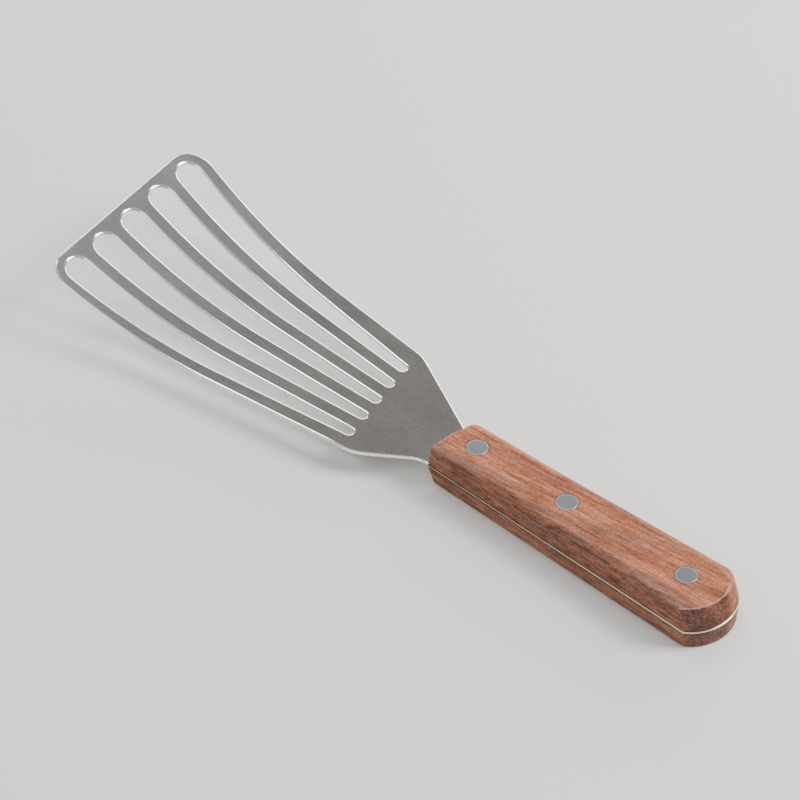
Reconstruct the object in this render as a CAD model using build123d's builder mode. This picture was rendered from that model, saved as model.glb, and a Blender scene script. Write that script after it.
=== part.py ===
from build123d import *
import math
import os

# A fish spatula: a thin slotted blade whose tang runs the whole length of a riveted
# wooden handle. X runs from the handle to the blade's tip, Z is up, and the origin is
# the middle of the handle's flat underside. All lengths are in millimetres.
# Left and right are those of a cook who holds the handle and looks at the tip.

# Handle
handle_length = 127.0
handle_front_width = 22.2
handle_butt_width = 29.8
front_skew = 1.7
left_butt_bulge = 7.6
right_butt_bulge = 9.2
butt_corner_radius = 2.6
side_lean = 0.5

# Handle scales: the upper one has a sloping butt, and its right edge is the rounder one
upper_thickness = 8.6
upper_butt_lean = 2.9
upper_front_lean = 1.2
upper_left_grip_radius = 3.2
upper_right_grip_radius = 4.6
lower_thickness = 6.8
lower_butt_lean = 0.3
lower_front_lean = 2.1
lower_grip_radius = 1.4

# Blade stock, and how it is bent on its way from the handle to the tip
blade_thickness = 1.2
blade_length = 162.3
neck_start = 1.6
neck_run = 32.0
neck_rise = 2.3
flat_run = 53.0
flat_rise = 0.9
bend_radius = 40.0
tip_curl_radius = 190.0

# Blade outline: the sides fan out, and the right side reaches further than the left
left_root_reach = 3.6
right_root_reach = 1.6
left_shoulder_reach = 22.4
right_shoulder_reach = 37.6
left_shoulder_width = 25.8
right_shoulder_width = 28.4
middle_reach = 92.0
middle_half_width = 34.3
left_tip_width = 42.0
right_tip_width = 43.4
tip_slant_share = 0.094
tip_corner_radius = 9.5
shoulder_radius = 16.0
root_radius = 9.0
bevel_width = 1.6
bevel_depth = 0.5

# Slots, numbered from the middle one: left slots count up and right slots count down
slots_each_side = 2
slot_neck_reach = 32.8
slot_neck_pitch = 9.35
slot_neck_stagger = 2.1
slot_neck_radius = 1.7
slot_tip_margin = 3.7
left_slot_inset = 10.4
right_slot_inset = 11.6
slot_tip_radius = 5.1

# Rivets: a headed stud pressed into a headed sleeve
rivet_head_diameter = 8.0
rivet_head_thickness = 1.6
sleeve_diameter = 5.0
sleeve_end_gap = 0.4
stud_diameter = 3.6
stud_end_gap = 1.2
stud_chamfer = 0.4
front_rivet_inset = 13.5
middle_rivet_inset = 54.8
rear_rivet_inset = 18.8

# Fits, and one overrun for every cut
seat_clearance = 0.05
press_clearance = 0.02
overrun = 5.0

# Places worked out from the sizes above
front_x = handle_length / 2
butt_x = -handle_length / 2
left_butt_x = butt_x + left_butt_bulge
right_butt_x = butt_x + right_butt_bulge
tip_x = front_x + blade_length
left_slot_pitch = (left_tip_width - left_slot_inset) / slots_each_side
right_slot_pitch = (right_tip_width - right_slot_inset) / slots_each_side
tang_bottom_z = lower_thickness
tang_middle_z = tang_bottom_z + blade_thickness / 2
tang_top_z = tang_bottom_z + blade_thickness
handle_top_z = tang_top_z + upper_thickness
rivet_x = {
    "front": front_x - front_rivet_inset,
    "middle": front_x - middle_rivet_inset,
    "rear": butt_x + rear_rivet_inset,
}


def tang_half_width(x):
    taper = (handle_front_width - handle_butt_width) / (front_x - left_butt_x)
    return (handle_butt_width + taper * (x - left_butt_x)) / 2


def handle_plan(z, side_inset, butt_inset, front_inset):
    ends = (
        (left_butt_x + butt_inset, 1),
        (front_x - front_inset, 1),
        (front_x - front_inset - front_skew, -1),
        (right_butt_x + butt_inset, -1),
    )
    corners = [(x, side * (tang_half_width(x) - side_inset)) for x, side in ends]
    with BuildSketch(Plane.XY.offset(z)) as plan:
        with BuildLine():
            ThreePointArc(corners[-1], (butt_x + butt_inset, 0), corners[0])
            Polyline(corners)
        make_face()
        fillet(plan.vertices().sort_by(Axis.X)[:2], butt_corner_radius)
    return plan.sketch


def handle_scale(thickness, butt_lean, front_lean, left_radius, right_radius):
    outer_z = tang_top_z + thickness
    with BuildPart() as scale:
        seat = handle_plan(tang_top_z, 0, 0, 0)
        face = handle_plan(outer_z, side_lean, butt_lean, front_lean)
        loft([seat, face], ruled=True)
        # Each long edge is rounded by a straight pass that runs out at both ends
        outer_edges = scale.faces().sort_by(Axis.Z)[-1].edges()
        for edge in outer_edges.sort_by(SortBy.LENGTH)[-2:]:
            behind, ahead = edge.vertices().sort_by(Axis.X)
            side = math.copysign(1, ahead.Y)
            with BuildSketch(Plane(ahead, x_dir=(0, 0, 1), z_dir=(behind - ahead))):
                with BuildLine():
                    corner = FilletPolyline(
                        (-thickness, side * side_lean),
                        (0, 0),
                        (0, -side * thickness),
                        radius=left_radius if side > 0 else right_radius,
                        mode=Mode.PRIVATE,
                    )
                    round_edge = corner.edges().filter_by(GeomType.CIRCLE)[0]
                    add(round_edge)
                    low_end, high_end = sorted(round_edge.vertices(), key=lambda end: end.X)
                    Polyline(
                        low_end,
                        (low_end.X, side * overrun),
                        (overrun, side * overrun),
                        (overrun, high_end.Y),
                        high_end,
                    )
                make_face()
            extrude(amount=handle_length, both=True, mode=Mode.SUBTRACT)
        with Locations([(x, 0, outer_z) for x in rivet_x.values()]):
            CounterBoreHole(
                radius=sleeve_diameter / 2 + seat_clearance,
                counter_bore_radius=rivet_head_diameter / 2 + seat_clearance,
                counter_bore_depth=rivet_head_thickness,
            )
    return scale.part


os.makedirs("parts", exist_ok=True)

# Blade and tang: a bent sheet of even thickness, cut to its plan
left_root = (front_x + left_root_reach, tang_half_width(front_x + left_root_reach))
right_root = (front_x + right_root_reach, -tang_half_width(front_x + right_root_reach))
left_shoulder = (front_x + left_shoulder_reach, left_shoulder_width)
right_shoulder = (front_x + right_shoulder_reach, -right_shoulder_width)
left_middle = (front_x + middle_reach, middle_half_width)
right_middle = (front_x + middle_reach, -middle_half_width)
left_tip = (tip_x - tip_slant_share * left_tip_width, left_tip_width)
right_tip = (tip_x + tip_slant_share * right_tip_width, -right_tip_width)
left_butt = (left_butt_x, tang_half_width(left_butt_x))
right_butt = (right_butt_x, -tang_half_width(right_butt_x))
corner_radii = {
    left_butt: butt_corner_radius,
    right_butt: butt_corner_radius,
    left_root: root_radius,
    right_root: root_radius,
    left_shoulder: shoulder_radius,
    right_shoulder: shoulder_radius,
    left_tip: tip_corner_radius,
    right_tip: tip_corner_radius,
}

knee_x = front_x + neck_run
curl_x = knee_x + flat_run
curl_start = (curl_x, tang_middle_z + neck_rise + flat_rise)
curl_reach = right_tip[0] + overrun - curl_x
curl_angle = math.degrees(math.asin(curl_reach / tip_curl_radius))

with BuildPart() as blade:
    with BuildSketch(Plane.XZ) as bent_sheet:
        with BuildLine() as bend_line:
            rise = FilletPolyline(
                (butt_x - overrun, tang_middle_z),
                (front_x + neck_start, tang_middle_z),
                (knee_x, tang_middle_z + neck_rise),
                curl_start,
                radius=bend_radius,
            )
            curl = JernArc(rise @ 1, rise % 1, tip_curl_radius, curl_angle)
        trace(line_width=blade_thickness)
    extrude(amount=right_tip_width + overrun, both=True)

    # The leading edge is ground on its upper side, straight across the tip
    curl_centre = Vector(curl.arc_center.X, 0, curl.arc_center.Y)
    leading_ends = []
    for x, y in (right_tip, left_tip):
        drop = math.sqrt((tip_curl_radius - blade_thickness / 2) ** 2 - (curl_centre.X - x) ** 2)
        leading_ends.append(Vector(x, y, curl_centre.Z - drop))
    leading_line = leading_ends[1] - leading_ends[0]
    bevel_slope = bevel_depth / bevel_width
    with BuildSketch(Plane(leading_ends[0], x_dir=curl_centre - leading_ends[0], z_dir=leading_line)):
        with BuildLine():
            Polyline(
                (0, -bevel_width),
                (overrun, -bevel_width),
                (overrun, overrun),
                (-bevel_slope * (overrun + bevel_width), overrun),
                close=True,
            )
        make_face()
    extrude(amount=leading_line.length + overrun, mode=Mode.SUBTRACT)

    with BuildSketch() as blade_plan:
        with BuildLine():
            ThreePointArc(right_butt, (butt_x, 0), left_butt)
            Polyline(left_butt, left_root, left_shoulder)
            ThreePointArc(left_shoulder, left_middle, left_tip)
            Line(left_tip, right_tip)
            ThreePointArc(right_tip, right_middle, right_shoulder)
            Polyline(right_shoulder, right_root, right_butt)
        make_face()
        for corner, radius in corner_radii.items():
            fillet(blade_plan.vertices().sort_by_distance(corner)[0], radius)
    extrude(amount=blade_length, mode=Mode.INTERSECT)

    for slot in range(-slots_each_side, slots_each_side + 1):
        neck_x = front_x + slot_neck_reach - slot * slot_neck_stagger + slot_neck_radius
        tip_y = slot * (left_slot_pitch if slot > 0 else right_slot_pitch)
        end_x = tip_x - tip_slant_share * tip_y - slot_tip_margin - slot_tip_radius
        with BuildSketch() as slot_plan:
            with Locations((neck_x, slot * slot_neck_pitch)):
                Circle(slot_neck_radius)
            with Locations((end_x, tip_y)):
                Circle(slot_tip_radius)
            make_hull()
        extrude(amount=blade_length, mode=Mode.SUBTRACT)

    with BuildSketch() as tang_holes:
        with Locations([(x, 0) for x in rivet_x.values()]):
            Circle(sleeve_diameter / 2 + seat_clearance)
    extrude(amount=blade_length, mode=Mode.SUBTRACT)
blade.part.label = "blade"
export_step(blade.part, "parts/blade.step")

# Upper handle scale, with leaning ends and sides
top_scale = handle_scale(
    upper_thickness,
    upper_butt_lean,
    upper_front_lean,
    upper_left_grip_radius,
    upper_right_grip_radius,
)
top_scale.label = "top_scale"
export_step(top_scale, "parts/top_scale.step")

# Lower handle scale: made the same way, and turned over to the tang's other side
with BuildPart() as bottom_scale:
    mirror(
        handle_scale(
            lower_thickness,
            lower_butt_lean,
            lower_front_lean,
            lower_grip_radius,
            lower_grip_radius,
        ),
        about=Plane.XY.offset(tang_middle_z),
    )
bottom_scale.part.label = "bottom_scale"
export_step(bottom_scale.part, "parts/bottom_scale.step")

# Rivets: the sleeve comes from below, through both scales and the tang
head_radius = rivet_head_diameter / 2
bore_radius = stud_diameter / 2 + press_clearance
stud_seat_z = handle_top_z - rivet_head_thickness
sleeve_end_z = stud_seat_z - sleeve_end_gap
bore_bottom_z = rivet_head_thickness
stud_end_z = bore_bottom_z + stud_end_gap

for name, x in rivet_x.items():
    axis = Axis((x, 0, 0), (0, 0, 1))

    with BuildPart() as sleeve:
        with BuildSketch(Plane.XZ):
            with BuildLine():
                Polyline(
                    (x, 0),
                    (x + head_radius, 0),
                    (x + head_radius, rivet_head_thickness),
                    (x + sleeve_diameter / 2, rivet_head_thickness),
                    (x + sleeve_diameter / 2, sleeve_end_z),
                    (x + bore_radius, sleeve_end_z),
                    (x + bore_radius, bore_bottom_z),
                    (x, bore_bottom_z),
                    close=True,
                )
            make_face()
        revolve(axis=axis)
    sleeve.part.label = f"{name}_rivet_sleeve"
    export_step(sleeve.part, f"parts/{name}_rivet_sleeve.step")

    with BuildPart() as stud:
        with BuildSketch(Plane.XZ):
            with BuildLine():
                Polyline(
                    (x, handle_top_z),
                    (x + head_radius, handle_top_z),
                    (x + head_radius, stud_seat_z),
                    (x + stud_diameter / 2, stud_seat_z),
                    (x + stud_diameter / 2, stud_end_z + stud_chamfer),
                    (x + stud_diameter / 2 - stud_chamfer, stud_end_z),
                    (x, stud_end_z),
                    close=True,
                )
            make_face()
        revolve(axis=axis)
    stud.part.label = f"{name}_rivet_stud"
    export_step(stud.part, f"parts/{name}_rivet_stud.step")
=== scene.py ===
import math
from functools import partial

import bmesh
import bpy
import numpy
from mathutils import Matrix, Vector
from mathutils.geometry import delaunay_2d_cdt


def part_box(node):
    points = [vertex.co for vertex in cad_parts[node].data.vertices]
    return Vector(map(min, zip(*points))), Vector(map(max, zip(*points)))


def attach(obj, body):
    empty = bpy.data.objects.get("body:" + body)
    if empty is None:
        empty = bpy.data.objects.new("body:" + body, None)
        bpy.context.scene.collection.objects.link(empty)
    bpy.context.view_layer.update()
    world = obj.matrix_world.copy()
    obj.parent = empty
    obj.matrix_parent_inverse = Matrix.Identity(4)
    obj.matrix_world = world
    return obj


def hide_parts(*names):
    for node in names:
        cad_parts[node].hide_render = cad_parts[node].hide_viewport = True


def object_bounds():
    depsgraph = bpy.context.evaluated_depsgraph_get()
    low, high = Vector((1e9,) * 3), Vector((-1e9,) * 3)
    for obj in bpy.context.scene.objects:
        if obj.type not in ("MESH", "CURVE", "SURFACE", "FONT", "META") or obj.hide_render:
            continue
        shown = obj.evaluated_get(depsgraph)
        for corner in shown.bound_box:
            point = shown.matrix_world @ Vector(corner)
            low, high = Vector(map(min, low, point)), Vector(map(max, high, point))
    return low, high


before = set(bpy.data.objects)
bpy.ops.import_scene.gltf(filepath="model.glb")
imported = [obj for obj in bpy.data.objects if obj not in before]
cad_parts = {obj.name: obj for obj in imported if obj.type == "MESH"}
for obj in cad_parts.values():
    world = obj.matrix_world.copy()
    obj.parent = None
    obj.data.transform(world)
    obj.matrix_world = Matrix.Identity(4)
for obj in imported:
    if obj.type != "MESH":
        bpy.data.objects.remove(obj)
cadLow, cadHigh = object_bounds()
topScaleLow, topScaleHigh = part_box("top_scale")
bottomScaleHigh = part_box("bottom_scale")[1]
print("frame loaded:", len(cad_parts), "nodes")

# The whole file is in metres. X runs to the tip, +Y is the cook's left, Z is up.
frontX = topScaleHigh.x
buttX = -frontX
tangTopZ = topScaleLow.z
tangBottomZ = bottomScaleHigh.z
tangMiddleZ = (tangTopZ + tangBottomZ) / 2
handleTopZ = topScaleHigh.z

cameraView = {
    "lens": 205.7,                 # mm, on a 36 mm sensor
    "sensor": 36.0,
    "target": (0.0934, -0.0077, 0.0074),
    "azimuth": 132.3,              # degrees from +X towards +Y
    "elevation": 42.0,
    "distance": 1.626,
}

studio = {
    "floorColour": (0.83, 0.825, 0.815),
    "floorSize": 4.0,
    "floorRoughness": 0.85,
    "mottleScale": 9.0,
    "mottleShare": 0.985,              # the floor's darkest tone
    "farSide": (0.67, -0.74),          # the way from the camera over the object
    "farBand": (-0.4, 0.8),            # from the near horizon to the far one, along that way
    "skyBand": (0.12, 0.50),           # from the horizon to the sky, by height share
    "nearHorizon": (0.34, 0.34, 0.345),
    "farHorizon": (1.05, 1.04, 1.03),
    "sky": (
        # height share, colour
        (0.50, (0.30, 0.30, 0.305)),
        (0.72, (0.31, 0.312, 0.315)),
        (0.86, (0.50, 0.50, 0.505)),
        (1.00, (0.62, 0.62, 0.62)),
    ),
    "lights": {
        # name: (place, width, height, watts, colour)
        "softboxKey": ((-0.70, -0.70, 0.92), 0.60, 0.60, 22.0, (1.0, 0.98, 0.95)),
        "softboxFill": ((-0.10, 0.75, 1.15), 0.90, 0.90, 6.0, (1.0, 0.985, 0.96)),
        "softboxTip": ((0.80, -0.22, 1.12), 0.35, 0.35, 4.0, (0.98, 0.99, 1.0)),
        "stripBack": ((1.10, -1.10, 0.34), 1.50, 0.42, 16.0, (1.0, 0.99, 0.97)),
        "stripSide": ((0.30, -1.45, 0.42), 0.90, 0.50, 12.0, (1.0, 0.99, 0.97)),
    },
}

blade = {
    "length": 0.1623,
    "thickness": tangTopZ - tangBottomZ,
    "edgeRound": 0.00040,
    "edgeWide": 0.00080,
    "polishedMargin": 0.00018,
    "planEase": 0.00002,
    "edgeSteps": 6,
    "bendStart": 0.0016,           # ahead of the handle
    "neckRun": 0.032,
    "neckRise": 0.0023,
    "flatRun": 0.053,
    "flatRise": 0.0009,
    "bendSoftness": 0.0002,
    "curlRadius": 0.190,
    "slant": 0.094,                # how far the leading edge leans back, per width
    "grindWidth": 0.0016,
    "grindDepth": 0.0005,
    "meshStep": 0.0018,
    "gridClearance": 0.55,         # of the grid from the rims, per mesh step
    "lineClearance": 1.5,          # of the ground line from the rims, per edge width
    "grindClearance": 1.6,         # of the grid from the tip, per grind width
    "grindPoints": 150,
    "sharpReach": 0.002,           # the ground line isn't sharp across a slot
}

# Corners of the blade's plan, on its way round: (reach from the handle, offset, radius).
# The two roots lie on the tang's own taper, whatever their offset.
planCorners = {
    "rightRoot": (0.0016, -0.0110, 0.009),
    "rightShoulder": (0.0376, -0.0284, 0.016),
    "rightTip": (blade["length"] + blade["slant"] * 0.0434, -0.0434, 0.0095),
    "leftTip": (blade["length"] - blade["slant"] * 0.0420, 0.0420, 0.0095),
    "leftShoulder": (0.0224, 0.0258, 0.016),
    "leftRoot": (0.0036, 0.0110, 0.009),
}
planSideMiddle = (0.092, 0.0343)
tang = {
    "buttWidth": 0.0298,
    "frontWidth": 0.0222,
    "leftBulge": 0.0076,
    "rightBulge": 0.0092,
    "leftCornerRadius": 0.0022,
    "rightCornerRadius": 0.0060,
    "holeSides": 32,
    "stripFade": 0.0005,           # round the handle's front, where the strip between the scales starts
    "stripRun": (-0.03, 0.06),     # X range in which the strip gets narrower
    "stripSoftness": 0.00016,
}

slots = {
    "eachSide": 2,
    "neckReach": 0.0328,
    "neckPitch": 0.00935,
    "neckStagger": 0.0021,
    "neckRadius": 0.0017,
    "tipPitch": 0.0158,
    "rightTipPitch": 0.0159,
    "tipMargin": 0.0037,
    "tipRadius": 0.0051,
    "arcStep": 0.0006,
    "leastBends": 14,
}

rivets = {
    "places": (frontX - 0.0135, frontX - 0.0548, buttX + 0.0188),
    "headRadius": 0.004,
    "headThickness": 0.0016,
    "shankRadius": 0.0018,
    "sleeveRadius": 0.0025,
    "edgeRound": 0.00016,
    "edgeSegments": 3,
    "edgeAngle": 40.0,
    "sides": 72,
    "studGap": 0.0012,             # between a shank's end and the other head
    "sleeveGap": 0.0004,
}

scales = {
    "frontSkew": 0.0017,           # the right front corner lies this far behind the left one
    "sideLean": 0.0005,
    "seatEase": 0.00016,           # the fine groove along the tang
    "step": 0.0016,
    "wallSteps": 5,
    "roundSteps": 8,
    "boreClearance": 0.00009,
    "boreSides": 64,
    "cornerShare": 0.2,            # of each side's count in the edge tables, for the corner after it
    "wornAndSheenRadius": 0.0007,          # edges that are tighter get pale wear and a painted sheen
    "splitAngle": 60.0,
}
# Radius of the outer edge on its way round: the place counts sides and their shares, from the left
# front corner along the left side (0), the butt (1), the right side (2) and the front (3)
upperScale = {
    "buttLean": 0.0029,
    "frontLean": 0.0012,
    "edge": ((0.0, 0.0012), (0.22, 0.0042), (0.5, 0.0044), (0.8, 0.0012), (1.0, 0.0004), (1.45, 0.0004),
             (1.8, 0.0034), (2.0, 0.0044), (2.5, 0.0046), (2.8, 0.0036), (3.0, 0.0030), (3.35, 0.0007),
             (3.8, 0.0006), (4.0, 0.0012)),
    "seatCorners": (0.0022, 0.0060, 0.0030, 0.0010),
    "faceCorners": (0.0020, 0.0110, 0.0040, 0.0012),
}
lowerScale = {
    "buttLean": 0.0003,
    "frontLean": 0.0021,
    "edge": ((0.0, 0.0012), (0.8, 0.0012), (1.0, 0.0008), (1.8, 0.0010), (2.0, 0.0014), (2.8, 0.0014),
             (3.0, 0.0010), (3.8, 0.0008), (4.0, 0.0012)),
    "seatCorners": (0.0022, 0.0060, 0.0030, 0.0010),
    "faceCorners": (0.0024, 0.0060, 0.0030, 0.0014),
}


# Node helpers

def feed(tree, source, target):
    if isinstance(source, bpy.types.NodeSocket):
        tree.links.new(source, target)
    else:
        target.default_value = source


def addNode(tree, kind, inputs=None, **settings):
    # inputs maps a socket's name or number to its value or to the socket that feeds it
    node = tree.nodes.new(kind)
    for name, value in settings.items():
        setattr(node, name, value)
    for key, source in (inputs or {}).items():
        feed(tree, source, node.inputs[key])
    return node


def calculate(tree, operation, *values, clamp=False):
    inputs = dict(enumerate(values))
    return addNode(tree, "ShaderNodeMath", inputs, operation=operation, use_clamp=clamp).outputs[0]


def calculateVector(tree, operation, *values, output=0):
    inputs = dict(enumerate(values))
    return addNode(tree, "ShaderNodeVectorMath", inputs, operation=operation).outputs[output]


def splitVector(tree, vector):
    return addNode(tree, "ShaderNodeSeparateXYZ", {0: vector}).outputs


def band(tree, value, low, high, start=0.0, end=1.0):
    return addNode(tree, "ShaderNodeMapRange", {
        "Value": value, "From Min": low, "From Max": high, "To Min": start, "To Max": end,
    }, interpolation_type="SMOOTHSTEP").outputs[0]


def blend(tree, factor, low, high, kind="MIX"):
    low, high = [(*colour, 1.0) if isinstance(colour, tuple) else colour for colour in (low, high)]
    inputs = {"Factor": factor, 6: low, 7: high}
    return addNode(tree, "ShaderNodeMix", inputs, data_type="RGBA", blend_type=kind).outputs[2]


def grey(tree, value):
    return addNode(tree, "ShaderNodeCombineColor", {0: value, 1: value, 2: value}).outputs[0]


def stretchedNoise(tree, vector, scale, detail, roughness=0.55, output="Fac"):
    return addNode(tree, "ShaderNodeTexNoise", {
        "Vector": calculateVector(tree, "MULTIPLY", vector, scale),
        "Scale": 1.0, "Detail": detail, "Roughness": roughness,
    }).outputs[output]


def makeGroup(name, kind, inputs, outputs):
    # inputs and outputs give each socket's kind, or its default value where it is a plain number
    tree = bpy.data.node_groups.new(name, kind)
    for direction, sockets in (("INPUT", inputs), ("OUTPUT", outputs)):
        for label, given in sockets.items():
            plain = not isinstance(given, str)
            socketKind = "NodeSocketFloat" if plain else f"NodeSocket{given}"
            socket = tree.interface.new_socket(name=label, in_out=direction, socket_type=socketKind)
            if plain:
                socket.default_value = given
    return tree, addNode(tree, "NodeGroupInput").outputs, addNode(tree, "NodeGroupOutput").inputs


def makeGeometryGroup(name, sizes):
    inputs = {"Geometry": "Geometry", **dict.fromkeys(sizes, 0.0), "Steel": "Material"}
    return makeGroup(name, "GeometryNodeTree", inputs, {"Geometry": "Geometry"})


def finishInSteel(tree, given, result, geometry):
    paint = addNode(tree, "GeometryNodeSetMaterial", {"Geometry": geometry, "Material": given["Steel"]})
    feed(tree, paint.outputs[0], result["Geometry"])


def startMaterial(name):
    material = bpy.data.materials.new(name)
    material.use_nodes = True
    tree = material.node_tree
    place = addNode(tree, "ShaderNodeTexCoord").outputs["Object"]
    return material, tree, tree.nodes["Principled BSDF"], place


def addBump(tree, shader, height, strength, distance):
    bump = addNode(tree, "ShaderNodeBump", {"Height": height, "Strength": strength, "Distance": distance})
    feed(tree, bump.outputs[0], shader.inputs["Normal"])


# Camera

def makeCamera():
    azimuth = math.radians(cameraView["azimuth"])
    elevation = math.radians(cameraView["elevation"])
    away = Vector((
        math.cos(elevation) * math.cos(azimuth),
        math.cos(elevation) * math.sin(azimuth),
        math.sin(elevation),
    ))
    data = bpy.data.cameras.new("photoCamera")
    data.lens = cameraView["lens"]
    data.sensor_width = cameraView["sensor"]
    data.dof.use_dof = False
    data.clip_start = 0.01
    holder = bpy.data.objects.new("photoCamera", data)
    holder.location = Vector(cameraView["target"]) + away * cameraView["distance"]
    holder.rotation_euler = (-away).to_track_quat("-Z", "Y").to_euler()
    bpy.context.scene.collection.objects.link(holder)
    bpy.context.scene.camera = holder


# Floor, world and lights

def makeFloorMaterial():
    material, tree, shader, place = startMaterial("paleFloor")
    mottle = addNode(tree, "ShaderNodeTexNoise", {
        "Vector": place, "Scale": studio["mottleScale"], "Detail": 3.0,
    })
    low = tuple(channel * studio["mottleShare"] for channel in studio["floorColour"])
    tone = blend(tree, mottle.outputs["Fac"], low, studio["floorColour"])
    feed(tree, tone, shader.inputs["Base Color"])
    shader.inputs["Roughness"].default_value = studio["floorRoughness"]
    shader.inputs["Specular IOR Level"].default_value = 0.2
    return material


def makeWorld():
    # a room that is pale behind the object, dim at half height and lighter overhead
    world = bpy.data.worlds.new("studioWorld")
    world.use_nodes = True
    tree = world.node_tree
    sums = partial(calculate, tree)
    x, y, height = splitVector(tree, addNode(tree, "ShaderNodeTexCoord").outputs["Generated"])
    farX, farY = studio["farSide"]
    facing = sums("ADD", sums("MULTIPLY", x, farX), sums("MULTIPLY", y, farY))
    horizon = blend(tree, band(tree, facing, *studio["farBand"]), studio["nearHorizon"], studio["farHorizon"])
    sky = addNode(tree, "ShaderNodeValToRGB", {"Fac": height})
    while len(sky.color_ramp.elements) < len(studio["sky"]):
        sky.color_ramp.elements.new(0.5)
    for stop, (share, colour) in zip(sky.color_ramp.elements, studio["sky"]):
        stop.position = share
        stop.color = (*colour, 1.0)
    room = blend(tree, band(tree, height, *studio["skyBand"]), horizon, sky.outputs["Color"])
    feed(tree, room, tree.nodes["Background"].inputs["Color"])
    bpy.context.scene.world = world


def makeStudio():
    half = studio["floorSize"] / 2
    mesh = bpy.data.meshes.new("studioFloor")
    corners = [(-half, -half, 0), (half, -half, 0), (half, half, 0), (-half, half, 0)]
    mesh.from_pydata(corners, [], [(0, 1, 2, 3)])
    floor = bpy.data.objects.new("studioFloor", mesh)
    bpy.context.scene.collection.objects.link(floor)
    mesh.materials.append(makeFloorMaterial())

    makeWorld()
    for name, (place, width, height, watts, colour) in studio["lights"].items():
        data = bpy.data.lights.new(name, "AREA")
        data.shape = "RECTANGLE"
        data.size = width
        data.size_y = height
        data.energy = watts
        data.color = colour
        lamp = bpy.data.objects.new(name, data)
        lamp.location = place
        aim = Vector(cameraView["target"]) - Vector(place)
        lamp.rotation_euler = aim.to_track_quat("-Z", "Y").to_euler()
        bpy.context.scene.collection.objects.link(lamp)


# Plan curves, as lists of points with the piece on their left

degreesPerBend = 6                 # of a rounded corner


def straightSide(start, end):
    length = (end - start).length
    return {"length": length, "at": lambda run: start.lerp(end, run / length)}


def arcSide(start, via, end):
    ax, ay, bx, by = via.x - start.x, via.y - start.y, end.x - start.x, end.y - start.y
    twice = 2 * (ax * by - ay * bx)
    ux = (by * (ax * ax + ay * ay) - ay * (bx * bx + by * by)) / twice
    uy = (ax * (bx * bx + by * by) - bx * (ax * ax + ay * ay)) / twice
    centre = start + Vector((ux, uy))
    radius = (start - centre).length
    turn = 2 * math.asin((end - start).length / (2 * radius))
    direction = 1 if twice > 0 else -1
    first = math.atan2(-uy, -ux)

    def at(run):
        angle = first + direction * run / radius
        return centre + radius * Vector((math.cos(angle), math.sin(angle)))

    return {"length": radius * turn, "at": at}


def sideDirection(side, run):
    small = side["length"] / 1000
    low = max(0.0, run - small)
    high = min(side["length"], run + small)
    return (side["at"](high) - side["at"](low)).normalized()


def planTurns(sides, radii):
    # how far each corner's rounding reaches along its sides, its radius and its angle
    turns = []
    for index, radius in enumerate(radii):
        before = sideDirection(sides[index], sides[index]["length"])
        after = sideDirection(sides[(index + 1) % len(sides)], 0)
        angle = before.angle(after)
        turns.append((radius * math.tan(angle / 2), radius, angle))
    return turns


def planCounts(sides, radii, step):
    turns = planTurns(sides, radii)
    counts = []
    for index, side in enumerate(sides):
        trim, _, angle = turns[index]
        clear = side["length"] - trim - turns[index - 1][0]
        bends = max(4, round(math.degrees(angle) / degreesPerBend))
        counts.append((max(2, round(clear / step)), bends))
    return counts


def roundedPlan(sides, radii, counts):
    # sides[i] ends at the corner of radii[i], and the next side starts there
    turns = planTurns(sides, radii)
    points = []
    for index, side in enumerate(sides):
        start = turns[index - 1][0]
        trim, radius, angle = turns[index]
        end = side["length"] - trim
        pieces, bends = counts[index]
        points += [side["at"](start + (end - start) * piece / pieces) for piece in range(pieces)]
        following = sides[(index + 1) % len(sides)]
        first, last = side["at"](end), following["at"](trim)
        reach = 4 / 3 * math.tan(angle / 4) * radius
        pull = first + sideDirection(side, end) * reach
        push = last - sideDirection(following, trim) * reach
        for bend in range(bends):
            t = bend / bends
            u = 1 - t
            points.append(first * u ** 3 + pull * (3 * u * u * t) + push * (3 * u * t * t) + last * t ** 3)
    return points


def halfWidth(x):
    leftButtX = buttX + tang["leftBulge"]
    taper = (tang["frontWidth"] - tang["buttWidth"]) / (frontX - leftButtX)
    return (tang["buttWidth"] + taper * (x - leftButtX)) / 2


def outerPlan():
    spot = {name: Vector((frontX + reach, offset)) for name, (reach, offset, _) in planCorners.items()}
    leftButtX, rightButtX = buttX + tang["leftBulge"], buttX + tang["rightBulge"]
    leftButt = Vector((leftButtX, halfWidth(leftButtX)))
    rightButt = Vector((rightButtX, -halfWidth(rightButtX)))
    for name, side in (("rightRoot", -1), ("leftRoot", 1)):
        spot[name].y = side * halfWidth(spot[name].x)
    middleX, middleY = frontX + planSideMiddle[0], planSideMiddle[1]
    sides = [
        straightSide(rightButt, spot["rightRoot"]),
        straightSide(spot["rightRoot"], spot["rightShoulder"]),
        arcSide(spot["rightShoulder"], Vector((middleX, -middleY)), spot["rightTip"]),
        straightSide(spot["rightTip"], spot["leftTip"]),
        arcSide(spot["leftTip"], Vector((middleX, middleY)), spot["leftShoulder"]),
        straightSide(spot["leftShoulder"], spot["leftRoot"]),
        straightSide(spot["leftRoot"], leftButt),
        arcSide(leftButt, Vector((buttX, 0.0)), rightButt),
    ]
    radii = [radius for _, _, radius in planCorners.values()]
    radii += [tang["leftCornerRadius"], tang["rightCornerRadius"]]
    return roundedPlan(sides, radii, planCounts(sides, radii, blade["meshStep"]))


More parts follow.
